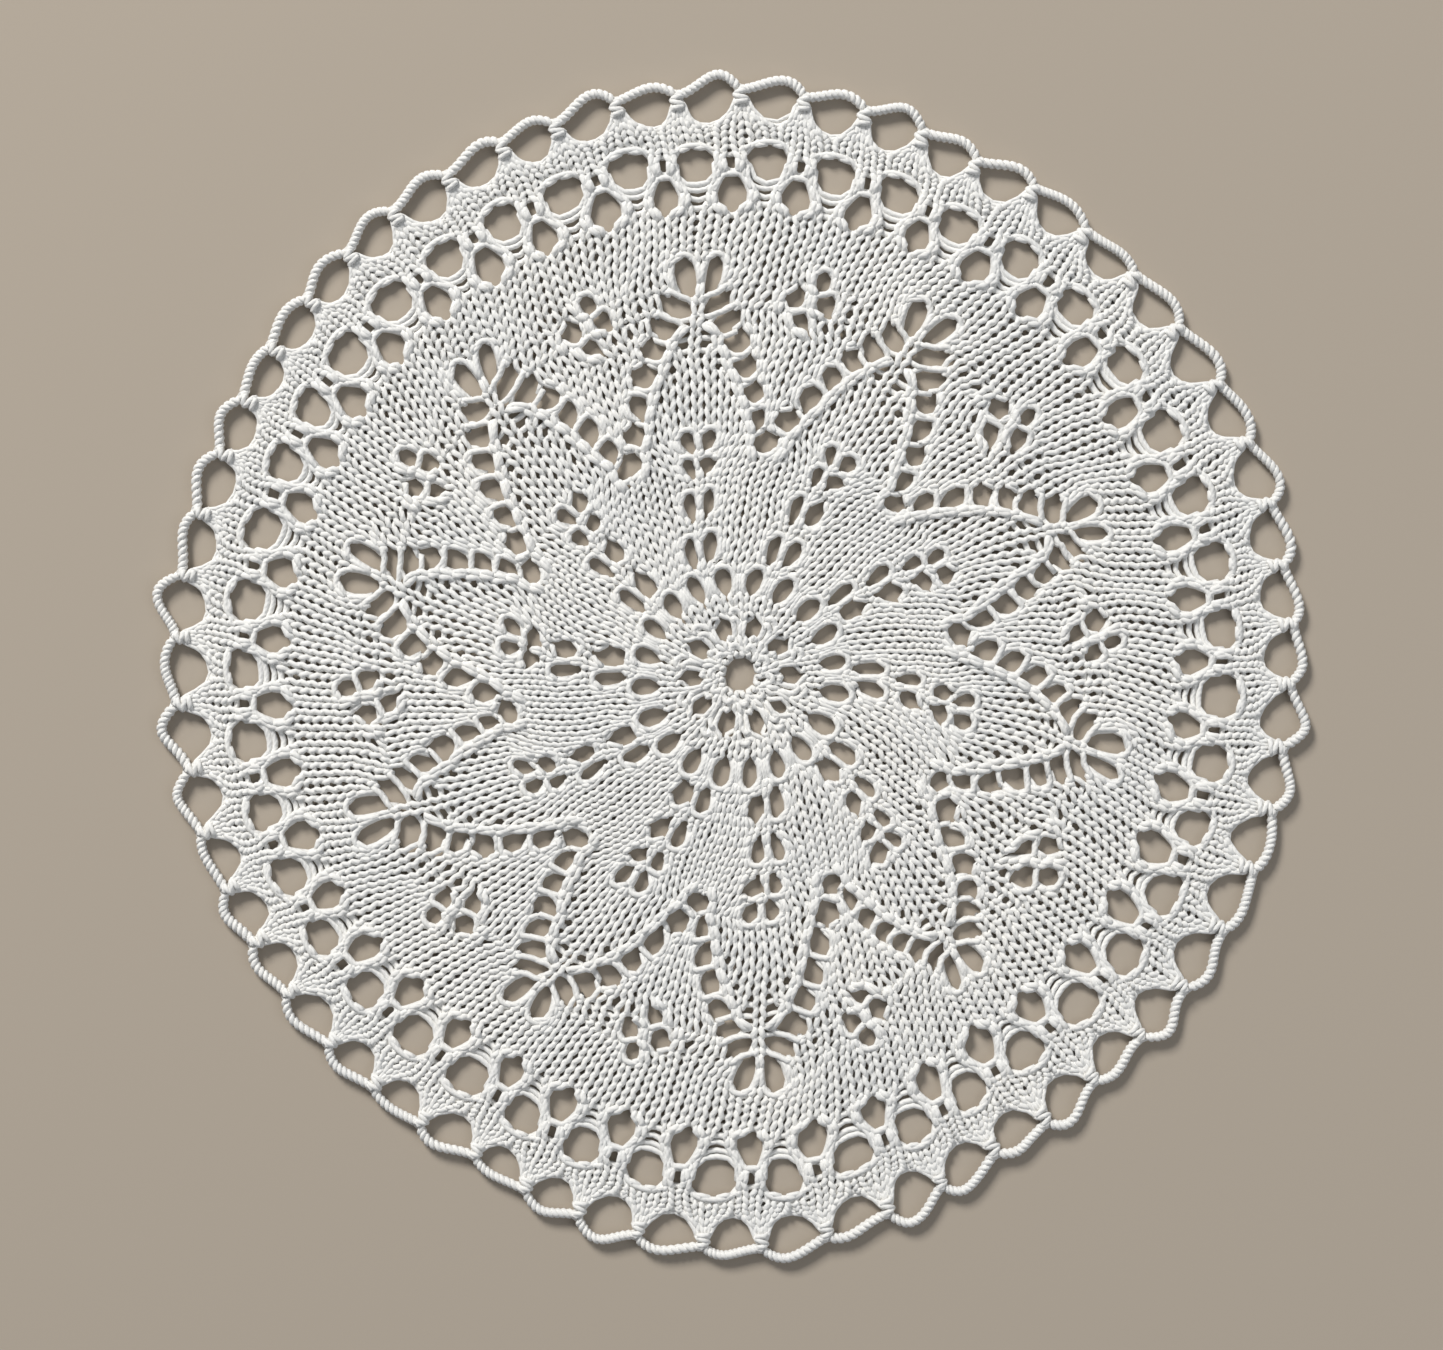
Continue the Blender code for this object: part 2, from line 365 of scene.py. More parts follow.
# The rounds at which the pieces of the leaves and of the ground start.
LEAVES_START = 21
GROUND_START = 35

# The camera looks straight down, as the photograph does. A pixel shows this many
# millimetres, and the middle of the doily lies at DOILY_PIXEL. The height is in metres.
IMAGE_WIDTH = 1443
IMAGE_HEIGHT = 1350
PIXEL = 0.2
DOILY_PIXEL = (731.0, 665.0)
CAMERA_HEIGHT = 0.55
SENSOR_WIDTH = 36.0


def eased(turn, column):
    """A column of the leaf table at turns counted in leaves, eased between leaves."""
    low = np.floor(turn).astype(int)
    share = turn - low
    share = share * share * (3.0 - 2.0 * share)
    values = LEAVES[:, column]
    return values[low % LEAF_COUNT] * (1.0 - share) + values[(low + 1) % LEAF_COUNT] * share


def on_plan(turn, radius):
    """The real place on the plan of a turn and a radius on the even doily."""
    turn, radius = np.broadcast_arrays(np.asarray(turn, float), np.asarray(radius, float))
    twist = np.interp(radius, TWIST[:, 0], TWIST[:, 1])
    bearing = FIRST_LEAF_BEARING + LEAF_PITCH * turn + twist
    for place in range(3):
        share = np.interp(radius, TURN_SHARES[:, 0], TURN_SHARES[:, place + 1])
        bearing = bearing + eased(turn, place) * share
    tip_pull = eased(turn, TIP_REACH) / LEAF_TIP
    edge_pull = eased(turn, EDGE_REACH) / LOOP_TOP
    inner = radius * (1.0 + (tip_pull - 1.0) * radius / LEAF_TIP)
    share = (radius - LEAF_TIP) / (LOOP_TOP - LEAF_TIP)
    outer = radius * (tip_pull + (edge_pull - tip_pull) * share)
    real = np.where(radius < LEAF_TIP, inner, outer)
    angle = np.radians(bearing)
    return np.stack((real * np.sin(angle), real * np.cos(angle)), axis=-1)


def edge_turn(even):
    """The turn of an even bearing in the band or the edge."""
    return (np.asarray(even, float) - FIRST_LEAF_BEARING) / LEAF_PITCH


class Round:
    """One round of stitches: where their heads lie on the even doily and on the real one,
    and what they are worked into."""

    def __init__(self, turn, radius, kinds):
        self.turn = np.asarray(turn, float)
        self.radius = np.asarray(radius, float)
        self.kinds = kinds
        self.plain = all(kind == "k" for kind in kinds)
        self.open_loop = np.array([kind in "oO" for kind in kinds])
        self.gathered = np.array([kind == "g" for kind in kinds])
        self.parents = []
        self.feet = None
        # Which stitches are purled, which show their heads in front, and how far each lies
        # on top of the others.
        self.purl = np.zeros(len(kinds), bool)
        self.head_in_front = np.zeros(len(kinds), bool)
        self.lift = np.zeros(len(kinds))
        self.place_heads()

    def place_heads(self):
        self.heads = on_plan(self.turn, self.radius)


def parents_of(this, before, first):
    """For each stitch, the stitches of the round before that it is worked into."""
    count = len(before.kinds)
    start = first
    found = []
    for kind in this.kinds:
        if kind == "m":
            found.append(found[-1])
        else:
            used = STITCHES_USED.get(kind, 0)
            found.append([(start + step) % count for step in range(used)])
            start += used
    return found


def work_into(this, before):
    """Sets each stitch's foot."""
    this.feet = np.zeros((len(this.kinds), 2))
    for i, found in enumerate(this.parents):
        if found:
            this.feet[i] = before.heads[found].mean(axis=0)
    spread_over_arches(this, before)
    for i in np.flatnonzero(this.open_loop):
        this.feet[i] = foot_of_yarn_over(this, i)


def spread_over_arches(this, before):
    """Stitches worked into one loop stand side by side along it."""
    count = len(this.kinds)
    start = 0
    while start < count:
        end = start + 1
        while end < count and this.kinds[end] == "m":
            end += 1
        if end - start > 1:
            loop = this.parents[start][0]
            along = this.heads[end - 1] - this.heads[start]
            for place in range(start, end):
                share = (place - start) / (end - start - 1) - 0.5
                this.feet[place] = before.heads[loop] + along * share
        start = end


def foot_of_yarn_over(this, i):
    """A yarn over stands between the feet of the stitches on both sides."""
    count = len(this.kinds)
    left = 1
    while this.open_loop[(i - left) % count]:
        left += 1
    right = 1
    while this.open_loop[(i + right) % count]:
        right += 1
    first = this.feet[(i - left) % count]
    second = this.feet[(i + right) % count]
    return first + (second - first) * left / (left + right)


def draw_together(this, before):
    """Stitches taken together come close, and the ones that end on top lie higher. A stitch
    into a yarn over is purled, so the yarn over's head lies in front as a bar."""
    for i, found in enumerate(this.parents):
        if len(found) > 1:
            middle = before.heads[found].mean(axis=0)
            before.heads[found] += (middle - before.heads[found]) * DRAWN_TOGETHER
            on_top = {"/": found[:1], "\\": found[-1:], "A": [found[0], found[-1]]}
            before.lift[on_top[this.kinds[i]]] = LIFT
            this.lift[i] = JOINED_LIFT
        if found and before.open_loop[found[0]]:
            this.purl[i] = True
            before.head_in_front[found[0]] = True


def unit(vectors):
    return vectors / np.maximum(np.linalg.norm(vectors, axis=-1, keepdims=True), 1e-9)


def chart_turns(leaf, ground, radius, side, eyelets):
    """Where a patterned round's stitches stand, in turns from the leaf's axis. Some places
    are known, and the other stitches stand evenly between them."""
    count = len(leaf) + len(ground)
    middle = (len(leaf) - 1) / 2.0
    if not side:
        return (np.arange(count) - middle) / count
    per_mm = LEAF_COUNT / (2.0 * math.pi * radius)
    at_tip = leaf[0] == "o"
    known = {0: 0.0}
    if at_tip:
        known[0] = -side * per_mm
        known[len(leaf) - 1] = side * per_mm
    else:
        if len(leaf) > 1:
            inner = (middle - 0.5) * LEAF_STITCH
            edge = (inner + 2.0 * (side - EYELET_HALF_WIDTH - EDGE_ROOM)) / 3.0 * per_mm
            known[0] = -edge
            known[len(leaf) - 1] = edge
        known[len(leaf)] = side * per_mm
        known[len(leaf) + 1] = (side + SIDE_ROOM) * per_mm
        known[count - 2] = 1.0 - (side + SIDE_ROOM) * per_mm
        known[count - 1] = 1.0 - side * per_mm
    start = 0 if at_tip else 1
    end = len(ground) - start
    found = [len(leaf) + index for index in range(start, end) if ground[index] == "o"]
    for index, offset in zip(found, eyelets):
        known[index] = 0.5 + offset * per_mm
    known[count] = known[0] + 1.0
    order = sorted(known)
    return np.interp(np.arange(count), order, [known[index] for index in order])


def lace_rounds():
    """The rounds from the cast-on to the band."""
    rounds = []
    first = Round(np.arange(LEAF_COUNT), np.full(LEAF_COUNT, CAST_ON_HEADS), ["k"] * LEAF_COUNT)
    first.feet = on_plan(first.turn, CAST_ON)
    rounds.append(first)
    for leaf_radius, ground_radius, side, eyelets, leaf, ground, plain in LACE_CHART:
        turn = chart_turns(leaf, ground, leaf_radius, side, eyelets)
        radius = [leaf_radius] * len(leaf) + [ground_radius] * len(ground)
        turns = (np.arange(LEAF_COUNT)[:, None] + turn).ravel()
        radii = np.tile(radius, LEAF_COUNT)
        rounds.append(Round(turns, radii, list((leaf + ground) * LEAF_COUNT)))
        for step, level in enumerate(plain):
            before = rounds[-1]
            settled = (step + 1.0) / len(plain)
            radii = level + (before.radius - before.radius.mean()) * (1.0 - settled)
            rounds.append(Round(before.turn, radii, ["k"] * len(before.kinds)))
    return rounds


def link_rounds(rounds, first_of_band):
    """Finds what each stitch is worked into. The band starts at the column nearest to it."""
    for before, this in zip(rounds, rounds[1:]):
        offset = 0
        if this is rounds[first_of_band]:
            apart = near_turn(before.turn, this.turn[0]) - this.turn[0]
            offset = int(np.argmin(np.abs(apart)))
        this.parents = parents_of(this, before, offset)


def settle(rounds):
    """Lets the columns of the plain rounds run straight between the patterned ones."""
    for _ in range(SETTLE_PASSES):
        for before, this, later in zip(rounds, rounds[1:], rounds[2:]):
            if this.plain:
                below = np.array([before.turn[found[0]] for found in this.parents])
                below = near_turn(below, this.turn)
                straight = (below + turns_above(this, later)) / 2.0
                ahead = near_turn(np.roll(this.turn, -1), this.turn)
                behind = near_turn(np.roll(this.turn, 1), this.turn)
                beside = (ahead + behind) / 2.0
                this.turn = straight + (beside - straight) * EVEN_SHARE
    for this in rounds:
        this.place_heads()


def turns_above(this, later):
    """For each stitch, the mean turn of the later stitches that are worked into it."""
    total = np.zeros(len(this.turn))
    times = np.zeros(len(this.turn))
    for child, found in enumerate(later.parents):
        for parent in found:
            total[parent] += near_turn(later.turn[child], this.turn[parent])
            times[parent] += 1.0
    return np.where(times > 0.0, total / np.maximum(times, 1.0), this.turn)


def near_turn(turn, other):
    """The same turn, counted so that it lies within half a circle of another."""
    return other + (turn - other + LEAF_COUNT / 2.0) % LEAF_COUNT - LEAF_COUNT / 2.0


def evened(turn):
    """As many turns, evenly spaced."""
    count = len(turn)
    even = np.arange(count) / count * LEAF_COUNT
    return even + np.mean(turn - even)


def band_rounds():
    """The rounds of the band and the border."""
    rounds = []
    middles = edge_turn(FIRST_BAND_EYELET + np.arange(BAND_COUNT) * 360.0 / BAND_COUNT)
    for stitches, places, radii in BAND_CHART:
        turns = middles[:, None] + np.array(places) * LEAF_COUNT / BAND_COUNT
        radii = np.tile(radii, BAND_COUNT)
        rounds.append(Round(turns.ravel(), radii, list(stitches * BAND_COUNT)))
    turns = evened(rounds[-1].turn)
    group, beside = gathers(turns)
    pitch = LEAF_COUNT / LOOP_COUNT
    knots = edge_turn(FIRST_KNOT) + group * pitch
    for radius, drawn_in, dip, kind in BORDER_ROUNDS:
        radii = radius - dip * (beside / GATHER_OUTER) ** 2
        rounds.append(Round(knots + beside * drawn_in * pitch, radii, [kind] * len(turns)))
    return rounds


def gathers(turns):
    """Which knot holds each column, four to a knot and five at one, and its place there."""
    pitch = LEAF_COUNT / LOOP_COUNT
    group = np.floor((turns - edge_turn(FIRST_KNOT)) / pitch + 0.5).astype(int)
    beside = np.zeros(len(turns))
    for knot in np.unique(group):
        members = np.flatnonzero(group == knot)
        beside[members] = (np.arange(len(members)) - (len(members) - 1) / 2.0) / len(members)
    return group, beside


def loop_frames(this):
    """The round's across directions and the loops' widths, at the heads and the feet."""
    head_across, head_width = spacing(this.heads)
    foot_across, foot_width = spacing(this.feet)
    arch_width = head_width * ARCH_WIDTH
    head_width = np.where(this.open_loop, arch_width, np.minimum(head_width, WIDEST_HEAD))
    foot_width = np.where(this.open_loop, head_width, np.clip(foot_width, *FOOT_WIDTHS))
    return head_across, foot_across, head_width, foot_width


def spacing(places):
    """The direction along a round at each stitch, and the room that the stitch has."""
    ahead = np.roll(places, -1, axis=0) - places
    apart = np.linalg.norm(ahead, axis=1)
    behind = np.roll(apart, 1)
    room = np.minimum((apart + behind) / 2.0, NEAREST_SHARE * np.minimum(apart, behind))
    return unit(ahead + np.roll(ahead, 1, axis=0)), room


def yarn_of(this):
    """The yarn's path through a round of stitches: x, y, height and radius at its points."""
    frames = loop_frames(this)
    t = 2.0 * math.pi * np.array(STITCH_POINTS + (1.0,))
    up = (1.0 - np.cos(t)) / 2.0
    wave = np.cos(2.0 * t)
    # Shares of the sinker, the head and the legs in the yarn at t.
    foot = np.where(up < 0.5, np.maximum(wave, 0.0), 0.0)
    head = np.where(up > 0.5, np.maximum(wave, 0.0), 0.0)
    legs = np.maximum(-wave, 0.0)
    plan = loop_plan(this, t, up, frames)
    height = loop_height(this, up, foot, head, legs)
    girth = loop_girth(this, legs, frames[2])
    path = np.dstack((plan, height, girth))
    return stepped(path[:, :-1].reshape(-1, path.shape[2]))


def loop_plan(this, t, up, frames):
    """Where the loops of a round lie on the plan."""
    head_across, foot_across, head_width, foot_width = frames
    open_loop = this.open_loop[:, None]
    gathered = this.gathered[:, None]
    rise = this.heads - this.feet
    out = unit(rise)
    length = np.linalg.norm(rise, axis=1, keepdims=True)
    sink = np.where(open_loop, ARCH_SINK, np.minimum(SINK_SHARE * length, SINK))
    bottom = this.feet - out * sink
    top = this.heads + out * np.where(gathered, GATHER_OVER, OVER)

    sway = np.where(gathered, GATHER_SWAY, LOOP_SWAY)
    loop = t / (2.0 * math.pi) - 0.5 + sway * np.sin(2.0 * t)
    arch = -0.5 * np.sign(np.cos(t / 2.0)) * np.abs(np.cos(t / 2.0)) ** ARCH_SQUARENESS
    place = np.where(open_loop, arch, loop)
    rising = np.where(open_loop, np.sin(t / 2.0) ** ARCH_SQUARENESS, up)
    width = foot_width[:, None] * (1.0 - rising) + head_width[:, None] * rising
    share = rising[:, :, None]
    across = foot_across[:, None, :] * (1.0 - share) + head_across[:, None, :] * share
    centre = bottom[:, None, :] + (top - bottom)[:, None, :] * share
    plan = centre + across * (place * width)[:, :, None]

    shared = (plan[:, -1] + np.roll(plan[:, 0], -1, axis=0)) / 2.0
    fade = ((1.0 + np.cos(t)) / 2.0) ** SINKER_POWER
    start = np.where(t < math.pi, fade, 0.0)[None, :, None]
    end = np.where(t > math.pi, fade, 0.0)[None, :, None]
    to_start = np.roll(shared, 1, axis=0) - plan[:, 0]
    to_end = shared - plan[:, -1]
    return plan + to_start[:, None, :] * start + to_end[:, None, :] * end


def loop_height(this, up, foot, head, legs):
    """How high the loops of a round lie: the sinker, the legs and the head of each."""
    foot_side = np.where(this.purl, 1.0, -1.0)
    leg_side = np.where(this.purl, PURL_LEGS, np.where(this.open_loop, ARCH_LEGS, 1.0))
    head_side = np.where(this.head_in_front, 1.0, -1.0)
    front = (
        foot_side[:, None] * foot[None, :]
        + leg_side[:, None] * legs[None, :]
        + head_side[:, None] * head[None, :]
    )
    return FLOAT_ABOVE_TABLE + LOOP_DEPTH * front + this.lift[:, None] * up[None, :]


def loop_girth(this, legs, head_width):
    """How thick the yarn is along the loops of a round."""
    full = np.maximum(legs[None, :], this.head_in_front[:, None])
    plump = np.clip(np.sqrt(head_width / USUAL_WIDTH), *PLUMP_RANGE)
    plump = np.where(this.open_loop, EYELET_PLUMP, plump)
    plump = np.where(this.purl, PURL_PLUMP, plump)
    plump = np.where(this.lift > 0.0, TOGETHER_PLUMP, plump)
    return YARN_RADIUS * (THIN_SHARE + (1.0 - THIN_SHARE) * full) * plump[:, None]


def stepped(points):
    """Adds points where a strand runs far between two, so that it can bend round openings."""
    ahead = np.roll(points, -1, axis=0)
    apart = np.linalg.norm(ahead[:, :3] - points[:, :3], axis=1)
    parts = np.maximum(np.ceil(apart / LONGEST_STEP).astype(int), 1)
    which = np.repeat(np.arange(len(points)), parts)
    first = np.concatenate(([0], np.cumsum(parts)[:-1]))
    share = (np.arange(len(which)) - first[which]) / parts[which]
    return points[which] + (ahead[which] - points[which]) * share[:, None]


def opening_table():
    """Every opening: its centre, its along and outward directions, and its half sizes."""
    rows = []
    for leaf in range(LEAF_COUNT):
        for radius, offset, half_width, half_height, lean in LEAF_OPENINGS:
            turn = leaf + math.degrees(offset / radius) / LEAF_PITCH
            rows.append((turn, radius, half_width, half_height, lean))
        for radius, offset, half_width, half_height, lean in GROUND_OPENINGS:
            turn = leaf + 0.5 + math.degrees(offset / radius) / LEAF_PITCH
            rows.append((turn, radius, half_width, half_height, lean))
    for radius, count, first, half_width, half_height in ROUND_OPENINGS:
        for index in range(count):
            turn = first + index * LEAF_COUNT / count
            rows.append((turn, radius, half_width, half_height, 0.0))
    for radius, place, half_width, half_height in BAND_OPENINGS:
        for index in range(BAND_COUNT):
            even = FIRST_BAND_EYELET + (index + place) * 360.0 / BAND_COUNT
            rows.append((edge_turn(even), radius, half_width, half_height, 0.0))
    radius, half_width, half_height = GATHER_GAP
    for index in range(LOOP_COUNT):
        even = FIRST_KNOT + (index + 0.5) * 360.0 / LOOP_COUNT
        rows.append((edge_turn(even), radius, half_width, half_height, 0.0))
    return rows


def pushed_aside(points):
    """Moves yarn out of every opening, and packs it closer round the rim. Lengths across
    an opening are counted in its half sizes, so that its rim is at 1."""
    moved = points.copy()
    for turn, radius, half_width, half_height, lean in opening_table():
        centre = on_plan(turn, radius)
        angle = math.atan2(centre[0], centre[1]) + math.radians(lean)
        out = np.array((math.sin(angle), math.cos(angle)))
        along = np.array((math.cos(angle), -math.sin(angle)))
        away = moved[:, :2] - centre
        wide = half_width + YARN_RADIUS
        tall = half_height + YARN_RADIUS
        p = away @ along / wide
        q = away @ out / tall
        near = rim_distance(p, q)
        inside = near < PUSH_REACH
        share = near[inside] / PUSH_REACH
        target = 1.0 + (PUSH_REACH - 1.0) * share**PUSH_POWER
        target = np.where(near[inside] > 1.0, np.maximum(target, near[inside]), target)
        bearing = round_the_rim(p, q, near)[inside]
        scale = target / rim_distance(np.cos(bearing), np.sin(bearing))
        moved[inside, :2] = (
            centre
            + (scale * np.cos(bearing) * wide)[:, None] * along
            + (scale * np.sin(bearing) * tall)[:, None] * out
        )
    return moved


def rim_distance(p, q):
    """How far a place is from the middle of an opening, whose rim is at 1."""
    return (np.abs(p) ** ROUNDNESS + np.abs(q) ** ROUNDNESS) ** (1.0 / ROUNDNESS)


def round_the_rim(p, q, near):
    """Each point's bearing from the middle of an opening. Where a strand jumps across the
    opening, its bearings turn evenly from where it comes in to where it goes out. If it
    runs through the middle, it takes the nearer way, or the inner rim."""
    bearing = np.arctan2(q, p)
    within = np.flatnonzero(near < 1.0)
    if len(within) == 0:
        return bearing
    for run in np.split(within, np.flatnonzero(np.diff(within) > 1) + 1):
        ends = bearing[[run[0] - 1, (run[-1] + 1) % len(bearing)]]
        steps = wrapped(np.diff(np.concatenate((ends[:1], bearing[run], ends[1:]))))
        if np.abs(steps).max() > STRAND_JUMP:
            swing = steps.sum()
            if near[run].min() < NEAR_MIDDLE:
                swing = wrapped(swing)
                if abs(swing) > THROUGH_MIDDLE and math.sin(ends[0] + swing / 2.0) > 0.0:
                    swing -= math.copysign(2.0 * math.pi, swing)
            bearing[run] = ends[0] + swing * np.arange(1, len(run) + 1) / (len(run) + 1)
    return bearing


def wrapped(angle):
    """Angles brought within half a turn of zero."""
    return (angle + math.pi) % (2.0 * math.pi) - math.pi


def wavered(points, waves):
    """Moves yarn on the plan by slow waves."""
    moved = points.copy()
    for direction, phase, length, push in waves:
        place = (points[:, :2] @ direction) * (2.0 * math.pi / length) + phase
        moved[:, :2] += np.sin(place)[:, None] * push
    return moved


def slow_waves(hand):
    """The directions, phases, lengths and pushes of the waves."""
    waves = []
    for length in WAVER_LENGTHS * 2:
        bearing, towards, phase = hand.uniform(0.0, 2.0 * math.pi, 3)
        direction = np.array((math.cos(bearing), math.sin(bearing)))
        push = np.array((math.cos(towards), math.sin(towards))) * WAVER
        waves.append((direction, phase, length, push))
    return waves


def eased_path(points):
    """Takes the sharpest turns out of a ring of yarn."""
    beside = (np.roll(points, -1, axis=0) + np.roll(points, 1, axis=0)) / 2.0
    return points + (beside - points) * SMOOTHING


def tube(points):
    """A closed ring of yarn as vertices and quads. Its UV is the share of the way round the
    yarn, and the length along it."""
    line = points[:, :3]
    tangent = unit(np.roll(line, -1, axis=0) - np.roll(line, 1, axis=0))
    side = unit(np.cross(tangent, (0.0, 0.0, 1.0)))
    up = np.cross(side, tangent)
    turn = 2.0 * math.pi * np.arange(TUBE_SIDES) / TUBE_SIDES
    across = np.cos(turn)[None, :, None]
    upright = np.sin(turn)[None, :, None]
    ring = side[:, None, :] * across + up[:, None, :] * upright
    verts = line[:, None, :] + ring * points[:, 3][:, None, None]
    shape = (len(points), TUBE_SIDES)
    i = np.arange(len(points))[:, None]
    k = np.arange(TUBE_SIDES)[None, :]
    here = i * TUBE_SIDES
    after = (i + 1) % len(points) * TUBE_SIDES
    beside = (k + 1) % TUBE_SIDES
    quads = at_corners(shape, here + k, here + beside, after + beside, after + k)
    steps = np.linalg.norm(np.roll(line, -1, axis=0) - line, axis=1)
    length = np.concatenate(([0.0], np.cumsum(steps)))
    near = length[:-1, None]
    far = length[1:, None]
    u = at_corners(shape, k, k + 1, k + 1, k) / TUBE_SIDES
    v = at_corners(shape, near, near, far, far)
    uv = np.stack((u, v), axis=-1).reshape(-1, 2)
    return verts.reshape(-1, 3), quads.reshape(-1, 4), uv


def at_corners(shape, *values):
    """What holds at each quad's four corners, for all the quads of a tube."""
    return np.stack([np.broadcast_to(value, shape) for value in values], axis=-1)


def yarn_piece(name, paths, material):
    """One piece of the scene, made of closed rings of yarn."""
    all_verts = []
    all_quads = []
    all_uv = []
    start = 0
    for path in paths:
        verts, quads, uv = tube(path)
        all_verts.append(verts)
        all_quads.append(quads + start)
        all_uv.append(uv)
        start += len(verts)
    verts = np.concatenate(all_verts)
    quads = np.concatenate(all_quads)
    verts[:, :2] += KNIT_CENTRE
    mesh = bpy.data.meshes.new(name)
    mesh.vertices.add(len(verts))
    mesh.vertices.foreach_set("co", (verts * MM).ravel())
    mesh.loops.add(quads.size)
    mesh.loops.foreach_set("vertex_index", quads.ravel())
    mesh.polygons.add(len(quads))
    mesh.polygons.foreach_set("loop_start", np.arange(0, quads.size, 4))
    mesh.update(calc_edges=True)
    mesh.shade_smooth()
    yarn_uv = mesh.uv_layers.new(name=YARN_UV)
    yarn_uv.uv.foreach_set("vector", np.concatenate(all_uv).ravel())
    mesh.materials.append(material)
    piece = bpy.data.objects.new(name, mesh)
    bpy.context.scene.collection.objects.link(piece)
    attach(piece, "root")
    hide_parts(NODE)
    print(name, len(quads) * 2, "triangles")
    return piece


def chain_point(loop, step):
    """Where a loop of chain lies on the plan, from its first knot at 0 to its second at 1."""
    even = FIRST_KNOT + (loop + step) * 360.0 / LOOP_COUNT
    base = on_plan(edge_turn(even), KNOT)
    highest = LOOP_RISES.get(loop, LOOP_RISE)
    rise = highest * np.sin(math.pi * np.clip(step, 0.0, 1.0) ** LOOP_LEAN)
    return base + unit(base) * np.asarray(rise)[..., None]


def crochet_edge():
    """The two strands of the crochet edge. One of them winds round each knot on its way."""
    winding = []
    straight = []
    for loop in range(LOOP_COUNT):
        winding += [knot_wraps(loop), chain_strand(loop, 0.0)]
        straight.append(chain_strand(loop, math.pi))
    return [np.concatenate(winding), np.concatenate(straight)]


def knot_wraps(loop):
    """The yarn winds round the gathered heads, from the chain down over them and back."""
    knot = chain_point(loop, np.array(0.0))
    out = unit(knot)
    along = np.array((out[1], -out[0]))
    t = np.linspace(0.0, 1.0, KNOT_STEPS)
    angle = -math.pi / 2.0 + 2.0 * math.pi * KNOT_TURNS * t
    narrow = 1.0 - KNOT_TAPER * np.abs(2.0 * t - 1.0)
    plan = (
        knot
        + along * (KNOT_HALF_WIDTH * narrow * np.cos(angle))[:, None]
        + out * (-KNOT_LENGTH * np.sin(math.pi * t) ** 2)[:, None]
    )
    height = CHAIN_HEIGHT + KNOT_HALF_HEIGHT * np.sin(angle)
    return np.column_stack((plan, height, np.full(KNOT_STEPS, YARN_RADIUS)))


def chain_strand(loop, phase):
    """One of the two strands that wind round each other along a loop of chain."""
    fine = np.linspace(*CHAIN_SPAN, CHAIN_SAMPLES)
    line = chain_point(loop, fine)
    length = np.concatenate(([0.0], np.cumsum(np.linalg.norm(np.diff(line, axis=0), axis=1))))
    count = max(4, round(length[-1] / CHAIN_STITCH))
    place = np.linspace(0.0, 1.0, count * CHAIN_STEPS + 1)
    step = np.interp(place * length[-1], length, fine)
    here = chain_point(loop, step)
    direction = unit(chain_point(loop, step + CHAIN_AHEAD) - here)
    left = np.stack((-direction[:, 1], direction[:, 0]), axis=1)
    angle = phase + 2.0 * math.pi * count * place
    plan = here + left * (CHAIN_HALF_WIDTH * np.cos(angle))[:, None]
    height = CHAIN_HEIGHT + CHAIN_HALF_WIDTH * np.sin(angle)
    return np.column_stack((plan, height, np.full(len(place), CHAIN_YARN_RADIUS)))


def yarn_material():
    """Matt off-white cotton: a soft ply twist, a little fuzz and slow changes of tone."""
    material = bpy.data.materials.new("cotton_yarn")
    material.use_nodes = True
    nodes = material.node_tree.nodes
    links = material.node_tree.links
    shader = nodes["Principled BSDF"]
    for name, value in COTTON.items():
        shader.inputs[name].default_value = value
    place = nodes.new("ShaderNodeTexCoord").outputs["Object"]

    fuzz = noise(nodes, FUZZ_SCALE, FUZZ_DETAIL)
    links.new(place, fuzz.inputs["Vector"])
    relief = math_node(nodes, "MULTIPLY_ADD", PLY_RELIEF)
    links.new(ply_wave(nodes, links), relief.inputs[0])
    links.new(fuzz.outputs["Fac"], relief.inputs[2])
    bump = nodes.new("ShaderNodeBump")
    bump.inputs["Strength"].default_value = RELIEF_STRENGTH
    bump.inputs["Distance"].default_value = RELIEF_DEPTH * MM
    links.new(relief.outputs["Value"], bump.inputs["Height"])
    links.new(bump.outputs["Normal"], shader.inputs["Normal"])

    tone = noise(nodes, TONE_SCALE, TONE_DETAIL)
    links.new(place, tone.inputs["Vector"])
    ramp = nodes.new("ShaderNodeValToRGB")
    colours = (PALE_COTTON, WARM_COTTON)
    for element, position, colour in zip(ramp.color_ramp.elements, TONE_RANGE, colours):
        element.position = position
        element.color = colour
    links.new(tone.outputs["Fac"], ramp.inputs["Fac"])
    links.new(ramp.outputs["Color"], shader.inputs["Base Color"])
    return material


def ply_wave(nodes, links):
    """The plies that wind round the yarn, as a wave of its UV."""
    uv = nodes.new("ShaderNodeUVMap")
    uv.uv_map = YARN_UV
    split = nodes.new("ShaderNodeSeparateXYZ")
    links.new(uv.outputs["UV"], split.inputs["Vector"])
    around = math_node(nodes, "MULTIPLY", 2.0 * math.pi * PLY_COUNT)
    links.new(split.outputs["X"], around.inputs[0])
    along = math_node(nodes, "MULTIPLY_ADD", 2.0 * math.pi / PLY_LENGTH)
    links.new(split.outputs["Y"], along.inputs[0])
    links.new(around.outputs["Value"], along.inputs[2])
    ply = nodes.new("ShaderNodeMath")
    ply.operation = "SINE"
    links.new(along.outputs["Value"], ply.inputs[0])
    return ply.outputs["Value"]


def math_node(nodes, operation, factor):
    """A node that multiplies by a factor, and may add."""
    node = nodes.new("ShaderNodeMath")
    node.operation = operation
    node.inputs[1].default_value = factor
    return node


